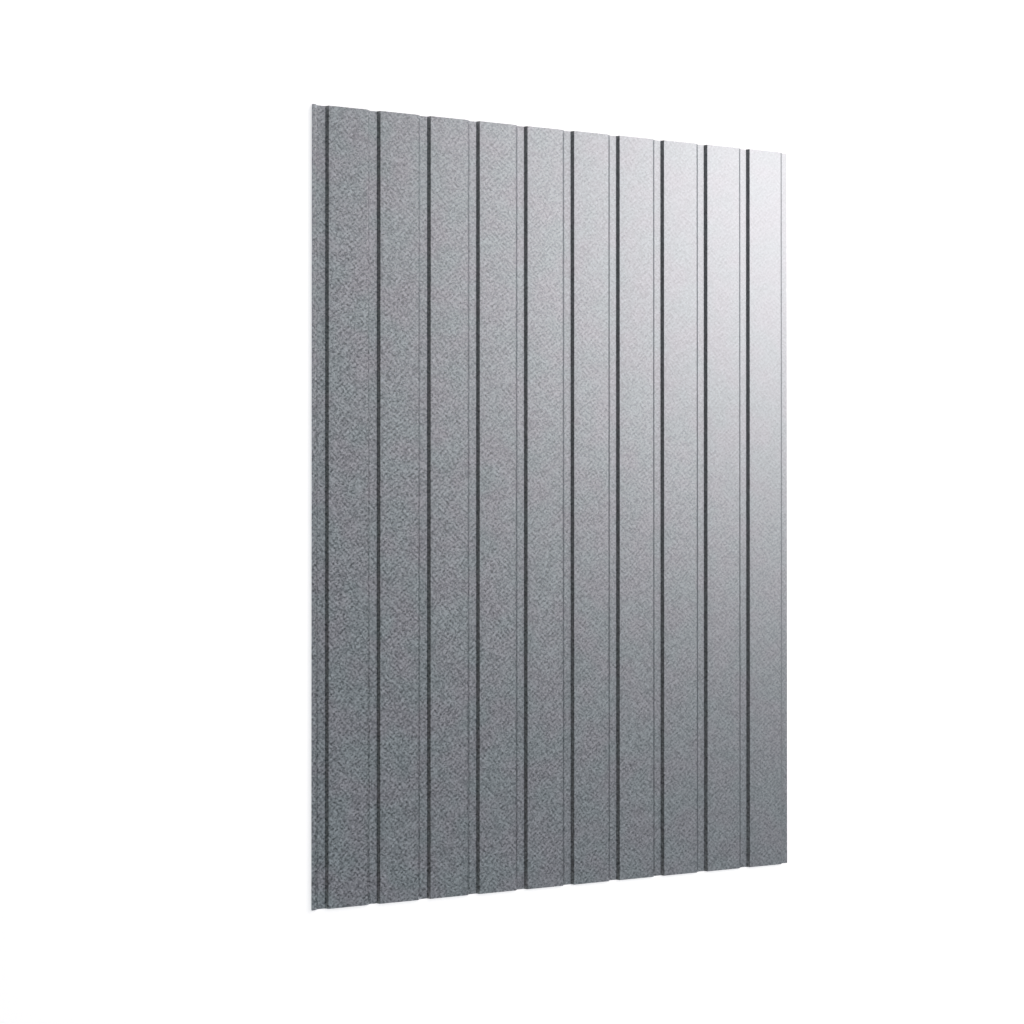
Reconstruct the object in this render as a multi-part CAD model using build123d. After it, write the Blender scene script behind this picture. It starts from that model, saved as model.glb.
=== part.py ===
from build123d import *
import os

# A corrugated wall sheet: one strip of galvanised steel, roll-formed into wide flat
# crests with narrow valleys between them. It lies on its valleys with the crests up.
# X runs across the ribs, Y along them and Z up. The origin is on the floor, under the
# middle of the sheet.

# Driving dimensions, in millimetres
sheet_length = 1800.0     # along the ribs
steel_thickness = 0.5
crest_count = 10          # wide crests, each with a valley on its left
crest_width = 88.5
valley_width = 17.0
web_run = 6.25            # how far a sloping web goes sideways between valley and crest
profile_depth = 6.5       # from a valley's underside up to a crest's underside
inside_bend_radius = 1.0  # on the hollow side of every bend
lip_width = 8.75          # strip at crest level that laps over the sheet beside it
last_valley_width = 15.0  # strip at valley level that the sheet beside it laps over

# The widths above are taken on the underside, between the sharp corners that the bends
# round off.
pitch = crest_width + valley_width + 2 * web_run
sheet_width = lip_width + crest_count * pitch + web_run + last_valley_width
outside_bend_radius = inside_bend_radius + steel_thickness


# The underside's runs from left to right, each with its sideways reach and the level
# at which it ends: 0 is the valleys, profile_depth the crests.
def section_runs():
    lip = [(lip_width, profile_depth)]
    rib = [
        (web_run, 0),
        (valley_width, 0),
        (web_run, profile_depth),
        (crest_width, profile_depth),
    ]
    far_edge = [(web_run, 0), (last_valley_width, 0)]
    return lip + crest_count * rib + far_edge


def underside_corners():
    x = -sheet_width / 2
    corners = [(x, profile_depth)]
    for reach, level in section_runs():
        x += reach
        corners.append((x, level))
    return corners


# The underside is the hollow side of a bend at crest level, and its outer side in a valley.
def underside_radii(corners):
    return [
        inside_bend_radius if level == profile_depth else outside_bend_radius
        for x, level in corners[1:-1]
    ]


# The section as the rolls leave it: the underside with its bends, thickened upwards, so
# the steel is equally thick in the flats, the webs and the bends.
def rolled_section():
    corners = underside_corners()
    underside = FilletPolyline(*corners, radius=underside_radii(corners))
    strip = offset(underside, amount=steel_thickness, side=Side.LEFT)
    return Plane.XZ * make_face(strip)


def corrugated_sheet():
    return extrude(rolled_section(), amount=sheet_length / 2, both=True)


os.makedirs("parts", exist_ok=True)
export_step(corrugated_sheet(), "parts/corrugated_sheet.step")
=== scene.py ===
import math
import bpy
from mathutils import Matrix, Vector


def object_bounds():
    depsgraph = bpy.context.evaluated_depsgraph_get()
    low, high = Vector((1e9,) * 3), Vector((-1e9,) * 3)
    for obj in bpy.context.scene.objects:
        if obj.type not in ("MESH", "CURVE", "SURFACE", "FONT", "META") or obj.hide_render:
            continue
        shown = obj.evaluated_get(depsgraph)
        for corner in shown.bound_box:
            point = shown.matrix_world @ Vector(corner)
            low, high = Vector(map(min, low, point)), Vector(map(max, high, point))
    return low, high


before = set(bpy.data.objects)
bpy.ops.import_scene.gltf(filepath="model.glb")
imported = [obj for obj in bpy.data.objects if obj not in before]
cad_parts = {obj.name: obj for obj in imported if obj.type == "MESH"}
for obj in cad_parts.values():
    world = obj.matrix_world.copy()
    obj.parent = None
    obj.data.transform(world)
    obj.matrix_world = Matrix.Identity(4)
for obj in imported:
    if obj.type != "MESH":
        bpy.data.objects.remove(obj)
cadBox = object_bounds()     # the sheet's own box, before anything is added
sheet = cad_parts["corrugated_sheet"]
millimetre = 0.001


# An sRGB hex colour as the linear colour that the shaders take.
def linearColour(hexCode):
    parts = [int(hexCode[i:i + 2], 16) / 255 for i in (1, 3, 5)]
    linear = [p / 12.92 if p <= 0.04045 else ((p + 0.055) / 1.055) ** 2.4 for p in parts]
    return linear + [1.0]


# Adds one node. Settings are its properties; each input takes a value or another node's output.
# An input goes by its name or its number. A Mix node's factor is 0, its two numbers are 2 and 3,
# and its two colours are 6 and 7.
def addNode(tree, kind, settings=None, inputs=None):
    node = tree.nodes.new(kind)
    for name, value in (settings or {}).items():
        setattr(node, name, value)
    for name, value in (inputs or {}).items():
        if isinstance(value, bpy.types.NodeSocket):
            tree.links.new(value, node.inputs[name])
        else:
            node.inputs[name].default_value = value
    return node


def newMaterial(name):
    material = bpy.data.materials.new(name)
    material.use_nodes = True
    material.node_tree.nodes.clear()
    return material


def newObject(name, data):
    thing = bpy.data.objects.new(name, data)
    bpy.context.scene.collection.objects.link(thing)
    return thing


# Turns and places a thing so that its -Z looks along a direction, with its +Y near up.
def lookAlong(thing, place, direction, up):
    forward = Vector(direction).normalized()
    right = forward.cross(Vector(up)).normalized()
    turn = Matrix((right, right.cross(forward), -forward)).transposed()
    thing.matrix_world = Matrix.Translation(place) @ turn.to_4x4()


# Camera: it looks down on the lying sheet at the photograph's viewing angle.
cameraSetup = {
    "place": (-1.0845, -0.0206, 2.8373),
    "aim": (-0.1334, -0.0111, 0.007),
    "lensMm": 44.7,
    "sensorMm": 36.0,
}


def makeCamera():
    data = bpy.data.cameras.new("photoCamera")
    data.lens = cameraSetup["lensMm"]
    data.sensor_width = cameraSetup["sensorMm"]
    camera = newObject("photoCamera", data)
    aim = Vector(cameraSetup["aim"]) - Vector(cameraSetup["place"])
    lookAlong(camera, cameraSetup["place"], aim, (0, 1, 0))
    bpy.context.scene.camera = camera
    print("camera: at", cameraSetup["place"])


# Lights: an even grey studio and one large softbox beyond the sheet's far right corner.
lightSetup = {
    "studioGrey": "#aeb0b4",
    "softboxHex": "#fff4f1",
    "softboxRadiance": 3.41,     # at its middle
    "softboxSize": (4.12, 5.78),
    "softboxEdge": 0.056,        # the share of that radiance left at the middle of each side
    "softboxAzimuth": 39.4,
    "softboxElevation": 38.1,
    "softboxDistance": 2.8,
}


def makeStudioAir():
    world = bpy.data.worlds.new("studioAir")
    world.use_nodes = True
    air = world.node_tree.nodes["Background"]
    air.inputs["Color"].default_value = linearColour(lightSetup["studioGrey"])
    bpy.context.scene.world = world


def makeSoftbox():
    width, height = lightSetup["softboxSize"]
    data = bpy.data.lights.new("softbox", "AREA")
    data.shape = "RECTANGLE"
    data.size = width
    data.size_y = height
    data.energy = lightSetup["softboxRadiance"] * math.pi * width * height
    data.color = linearColour(lightSetup["softboxHex"])[:3]
    softboxCloth(data)
    softbox = newObject("softbox", data)
    softbox.visible_camera = False
    azimuth = math.radians(lightSetup["softboxAzimuth"])
    elevation = math.radians(lightSetup["softboxElevation"])
    away = Vector((math.cos(azimuth) * math.cos(elevation),
                   math.sin(azimuth) * math.cos(elevation),
                   math.sin(elevation)))
    # Its width leans up and over the sheet, and its height runs along the ribs.
    across = away.cross(Vector((0, 1, 0)))
    lookAlong(softbox, away * lightSetup["softboxDistance"], -away, across.cross(away))


# Softbox cloth: brightest in the middle, with a soft bell-shaped fall to its edge.
def softboxCloth(lamp):
    lamp.use_nodes = True
    tree = lamp.node_tree
    place = addNode(tree, "ShaderNodeNewGeometry").outputs["Parametric"]
    centred = addNode(tree, "ShaderNodeVectorMath", {"operation": "SUBTRACT"},
                      {0: place, 1: (0.5, 0.5, 0)}).outputs[0]
    share = addNode(tree, "ShaderNodeVectorMath", {"operation": "MULTIPLY"},
                    {0: centred, 1: (2, 2, 0)}).outputs[0]
    squared = addNode(tree, "ShaderNodeVectorMath", {"operation": "DOT_PRODUCT"},
                      {0: share, 1: share}).outputs["Value"]
    profile = addNode(tree, "ShaderNodeMath", {"operation": "POWER"},
                      {0: lightSetup["softboxEdge"], 1: squared}).outputs[0]
    tree.links.new(profile, tree.nodes["Emission"].inputs["Strength"])


# Black panel: cloth on the left that only reflections see. The webs that face it mirror it and
# look dark. It fades to grey at its foot, so that the webs look alike from edge to edge.
panelSetup = {
    "x": -3.2,
    "height": 4.23,
    "length": 7.4,
    "footHeight": 2.6,           # up to here it fades from its foot's grey to its own black
    "footHex": "#a8a69f",
    "clothHex": "#0c0c0b",
}


def makeBlackPanel():
    x, height, half = panelSetup["x"], panelSetup["height"], panelSetup["length"] / 2
    corners = [(x, -half, 0), (x, half, 0), (x, half, height), (x, -half, height)]
    mesh = bpy.data.meshes.new("blackPanel")
    mesh.from_pydata(corners, [], [(0, 1, 2, 3)])
    mesh.materials.append(panelCloth())
    panel = newObject("blackPanel", mesh)
    panel.visible_camera = panel.visible_diffuse = panel.visible_shadow = False


# Matt black studio cloth, which fades to grey at its foot.
def panelCloth():
    material = newMaterial("blackPanelCloth")
    tree = material.node_tree
    place = addNode(tree, "ShaderNodeTexCoord").outputs["Object"]
    upright = addNode(tree, "ShaderNodeSeparateXYZ", inputs={"Vector": place}).outputs["Z"]
    rise = addNode(tree, "ShaderNodeMapRange",
                   inputs={"Value": upright, "From Max": panelSetup["footHeight"]}).outputs[0]
    foot, cloth = linearColour(panelSetup["footHex"]), linearColour(panelSetup["clothHex"])
    colour = addNode(tree, "ShaderNodeMix", {"data_type": "RGBA"}, {0: rise, 6: foot, 7: cloth})
    matt = addNode(tree, "ShaderNodeBsdfDiffuse", inputs={"Color": colour.outputs[2]})
    addNode(tree, "ShaderNodeOutputMaterial", inputs={"Surface": matt.outputs[0]})
    return material


# Floor: white studio paper that rises into a backdrop all round.
floorSetup = {
    "flatRadius": 8.0,
    "riseRadius": 6.0,
    "riseSteps": 16,
    "turnSteps": 96,
    "level": -0.2 * millimetre,  # just under the sheet, so no two faces lie in one plane
    "paperHex": "#e6e6e6",
    "fill": 0.57,                # what brings the open paper to white for the camera
}


def makeFloor():
    flat, rise = floorSetup["flatRadius"], floorSetup["riseRadius"]
    steps, turns, level = floorSetup["riseSteps"], floorSetup["turnSteps"], floorSetup["level"]
    rings = [(flat / 2, level), (flat, level)]
    for step in range(1, steps + 1):
        angle = math.pi / 2 * step / steps
        rings.append((flat + rise * math.sin(angle), rise * (1 - math.cos(angle)) + level))
    points = [(0.0, 0.0, level)]
    for radius, height in rings:
        for turn in range(turns):
            angle = 2 * math.pi * turn / turns
            points.append((radius * math.cos(angle), radius * math.sin(angle), height))
    faces = [(0, 1 + turn, 1 + (turn + 1) % turns) for turn in range(turns)]
    for ring in range(len(rings) - 1):
        inner, outer = 1 + ring * turns, 1 + (ring + 1) * turns
        for turn in range(turns):
            beside = (turn + 1) % turns
            faces.append((inner + turn, outer + turn, outer + beside, inner + beside))
    mesh = bpy.data.meshes.new("studioFloor")
    mesh.from_pydata(points, [], faces)
    mesh.shade_smooth()
    mesh.materials.append(paperMaterial())
    floor = newObject("studioFloor", mesh)
    print("floor: white paper,", len(faces), "faces")


# Matt white seamless paper. It takes the sheet's shadow; the camera and reflections see it
# a little lifted, so that the open paper reads white without more light on the steel.
def paperMaterial():
    material = newMaterial("mattWhitePaper")
    tree = material.node_tree
    path = addNode(tree, "ShaderNodeLightPath").outputs
    seen = path["Is Camera Ray"]
    for ray in ("Is Glossy Ray", "Is Transmission Ray"):
        seen = addNode(tree, "ShaderNodeMath", {"operation": "MAXIMUM"},
                       {0: seen, 1: path[ray]}).outputs[0]
    strength = addNode(tree, "ShaderNodeMath", {"operation": "MULTIPLY"},
                       {0: seen, 1: floorSetup["fill"]}).outputs[0]
    lift = addNode(tree, "ShaderNodeEmission", inputs={"Strength": strength})
    paper = addNode(tree, "ShaderNodeBsdfDiffuse",
                    inputs={"Color": linearColour(floorSetup["paperHex"])})
    both = addNode(tree, "ShaderNodeAddShader", inputs={0: paper.outputs[0], 1: lift.outputs[0]})
    addNode(tree, "ShaderNodeOutputMaterial", inputs={"Surface": both.outputs[0]})
    return material


# Sheet: hot-dip galvanised steel with a minimised spangle, skin-passed and roll-formed. The
# zinc froze into feathery crystals, so the grey is crossed by short dark and pale strokes on
# the skew. The pale ones are frosty, the dark ones glossy, so the mottling shows on the steel
# in the shade and drowns in a highlight. The bends are painted darker: painted shade, which
# also dims the highlight they catch. The cut edges are bare steel, greyer and duller.
zincFinish = {
    "crystalMm": 3.2,            # real ones are 0.5 to 2 mm; drawn coarser, so that they show
    "crystalTilt": 0.005,        # how far their faces lean, as a slope
    "strokeMm": (14.0, 9.0),     # length and spacing of the feathery strokes, drawn coarser too
    "strokeAngles": (44.0, -47.0),
    "strokeBand": (0.7, 1.3),    # the part of the two strokes' sum that runs from dark to pale
    "strokeShare": 0.38,         # how much of the mottling is strokes; the rest is crystals
    "contrast": 0.84,            # of the mottling in the middle of the sheet
    "contrastAcross": -0.34,     # what it gains from there to the last valley's edge
    "contrastAlong": -0.23,      # and to the far end; both are matched to the photograph
    "patchMm": 75.0,             # soft colour patches left by the passivation
    "patchBand": (0.35, 0.65),   # the part of their noise that runs from cool to warm
    "patchHexes": ("#9ea6a9", "#a2a4a9"),
    "roughness": 0.44,
    "frost": 0.25,               # how much rougher the pale strokes are than the dark ones
    "paintedBendShade": 0.5,              # how much painted shade darkens the middle of a bend
    "webLean": 0.72,             # the sideways part of a web's normal; on the bends it is less
    "cutHex": "#6c6c6e",
    "cutRoughness": 0.6,
    "cutLean": 0.95,             # only the cut edges face more than this along or across
}


# The crystals and the strokes that cross them, as one tone around a half.
def zincMottle(tree, place, crystals):
    length, spacing = zincFinish["strokeMm"]
    strokes = []
    for angle in zincFinish["strokeAngles"]:
        stroke = addNode(tree, "ShaderNodeTexGabor", {"gabor_type": "2D"}, {
            "Vector": place, "Scale": 1 / (length * millimetre), "Frequency": length / spacing,
            "Anisotropy": 1.0, "Orientation": math.radians(angle)})
        strokes.append(stroke.outputs["Value"])
    crossed = addNode(tree, "ShaderNodeMath", {"operation": "ADD"},
                      {0: strokes[0], 1: strokes[1]}).outputs[0]
    dark, pale = zincFinish["strokeBand"]
    strokeTone = addNode(tree, "ShaderNodeMapRange",
                         inputs={"Value": crossed, "From Min": dark, "From Max": pale}).outputs[0]
    crystalTone = addNode(tree, "ShaderNodeSeparateColor", inputs={"Color": crystals}).outputs[0]
    return addNode(tree, "ShaderNodeMix", {"data_type": "FLOAT"},
                   {0: zincFinish["strokeShare"], 2: crystalTone, 3: strokeTone}).outputs[0]


# How strong the mottling is at each place: a plane over the sheet.
def mottleStrength(tree, place):
    halfWidth, halfLength = cadBox[1][0], cadBox[1][1]
    gain = (zincFinish["contrastAcross"] / halfWidth, zincFinish["contrastAlong"] / halfLength, 0)
    slope = addNode(tree, "ShaderNodeVectorMath", {"operation": "DOT_PRODUCT"},
                    {0: place, 1: gain}).outputs["Value"]
    return addNode(tree, "ShaderNodeMath", {"operation": "ADD"},
                   {0: slope, 1: zincFinish["contrast"]}).outputs[0]


# The passivated zinc's cool and warm greys, in soft patches as strong as the mottling.
def zincTint(tree, place, strength):
    patches = addNode(tree, "ShaderNodeTexNoise", {"noise_dimensions": "3D"}, {
        "Vector": place, "Scale": 1 / (zincFinish["patchMm"] * millimetre), "Detail": 1.0})
    low, high = zincFinish["patchBand"]
    patchSway = addNode(tree, "ShaderNodeMapRange", inputs={
        "Value": patches.outputs[0], "From Min": low, "From Max": high,
        "To Min": -0.5, "To Max": 0.5}).outputs[0]
    share = addNode(tree, "ShaderNodeMath", {"operation": "MULTIPLY_ADD", "use_clamp": True},
                    {0: patchSway, 1: strength, 2: 0.5}).outputs[0]
    cool, warm = [linearColour(code) for code in zincFinish["patchHexes"]]
    return addNode(tree, "ShaderNodeMix", {"data_type": "RGBA"},
                   {0: share, 6: cool, 7: warm}).outputs[2]


# The surface's normal, with each crystal's face leaning its own way.
def crystalNormal(tree, crystals):
    lean = addNode(tree, "ShaderNodeVectorMath", {"operation": "SUBTRACT"},
                   {0: crystals, 1: (0.5, 0.5, 0.5)}).outputs[0]
    leaning = addNode(tree, "ShaderNodeVectorMath", {"operation": "SCALE"},
                      {0: lean, "Scale": 2 * zincFinish["crystalTilt"]}).outputs[0]
    normal = addNode(tree, "ShaderNodeNewGeometry").outputs["Normal"]
    tilted = addNode(tree, "ShaderNodeVectorMath", {"operation": "ADD"},
                     {0: normal, 1: leaning}).outputs[0]
    return addNode(tree, "ShaderNodeVectorMath", {"operation": "NORMALIZE"}, {0: tilted}).outputs[0]


def zincMaterial():
    material = newMaterial("hotDipGalvanisedSteel")
    tree = material.node_tree
    around = addNode(tree, "ShaderNodeTexCoord").outputs
    place = around["Object"]
    crystals = addNode(tree, "ShaderNodeTexVoronoi", {"voronoi_dimensions": "3D"}, {
        "Vector": place, "Scale": 1 / (zincFinish["crystalMm"] * millimetre)}).outputs["Color"]

    # How far each place's tone is above or below the zinc's middle grey.
    strength = mottleStrength(tree, place)
    centred = addNode(tree, "ShaderNodeMath", {"operation": "SUBTRACT"},
                      {0: zincMottle(tree, place, crystals), 1: 0.5}).outputs[0]
    sway = addNode(tree, "ShaderNodeMath", {"operation": "MULTIPLY"},
                   {0: centred, 1: strength}).outputs[0]
    zincRoughness = addNode(tree, "ShaderNodeMath", {"operation": "MULTIPLY_ADD"}, {
        0: sway, 1: zincFinish["frost"], 2: zincFinish["roughness"]}).outputs[0]

    # How far the surface faces across the sheet and along it.
    facing = addNode(tree, "ShaderNodeSeparateXYZ", inputs={"Vector": around["Normal"]}).outputs
    across, along = [addNode(tree, "ShaderNodeMath", {"operation": "ABSOLUTE"},
                             {0: facing[name]}).outputs[0] for name in ("X", "Y")]

    # Bends: they lean less than a web and more than a flat. Their colour is darkened as painted
    # shade, most half-way.
    halfLean = zincFinish["webLean"] / 2
    bent = addNode(tree, "ShaderNodeMath", {"operation": "PINGPONG"},
                   {0: across, 1: halfLean}).outputs[0]
    shadeOnBends = addNode(tree, "ShaderNodeMath", {"operation": "MULTIPLY_ADD"},
                     {0: bent, 1: -zincFinish["paintedBendShade"] / halfLean, 2: 1.0}).outputs[0]
    shade = addNode(tree, "ShaderNodeMath", {"operation": "ADD"}, {0: sway, 1: shadeOnBends}).outputs[0]
    zinc = addNode(tree, "ShaderNodeVectorMath", {"operation": "SCALE"},
                   {0: zincTint(tree, place, strength), "Scale": shade}).outputs[0]

    # Cut edges: only they face straight along the sheet or straight across it.
    sideways = addNode(tree, "ShaderNodeMath", {"operation": "MAXIMUM"},
                       {0: across, 1: along}).outputs[0]
    cut = addNode(tree, "ShaderNodeMath", {"operation": "GREATER_THAN"},
                  {0: sideways, 1: zincFinish["cutLean"]}).outputs[0]
    colour = addNode(tree, "ShaderNodeMix", {"data_type": "RGBA"},
                     {0: cut, 6: zinc, 7: linearColour(zincFinish["cutHex"])}).outputs[2]
    roughness = addNode(tree, "ShaderNodeMix", {"data_type": "FLOAT"},
                        {0: cut, 2: zincRoughness, 3: zincFinish["cutRoughness"]}).outputs[0]

    steel = addNode(tree, "ShaderNodeBsdfPrincipled", inputs={
        "Base Color": colour,
        "Metallic": 1.0,
        "Roughness": roughness,
        "Normal": crystalNormal(tree, crystals),
    })
    addNode(tree, "ShaderNodeOutputMaterial", inputs={"Surface": steel.outputs[0]})
    return material


def dressSheet():
    material = zincMaterial()
    if not sheet.material_slots:
        sheet.data.materials.append(material)
    for slot in sheet.material_slots:
        slot.material = material
    print("sheet:", len(sheet.data.polygons), "faces in", material.name)


bpy.context.scene.view_settings.view_transform = "Standard"
makeCamera()
makeStudioAir()
makeSoftbox()
makeBlackPanel()
print("lights: softbox, studio air and black panel")
makeFloor()
dressSheet()
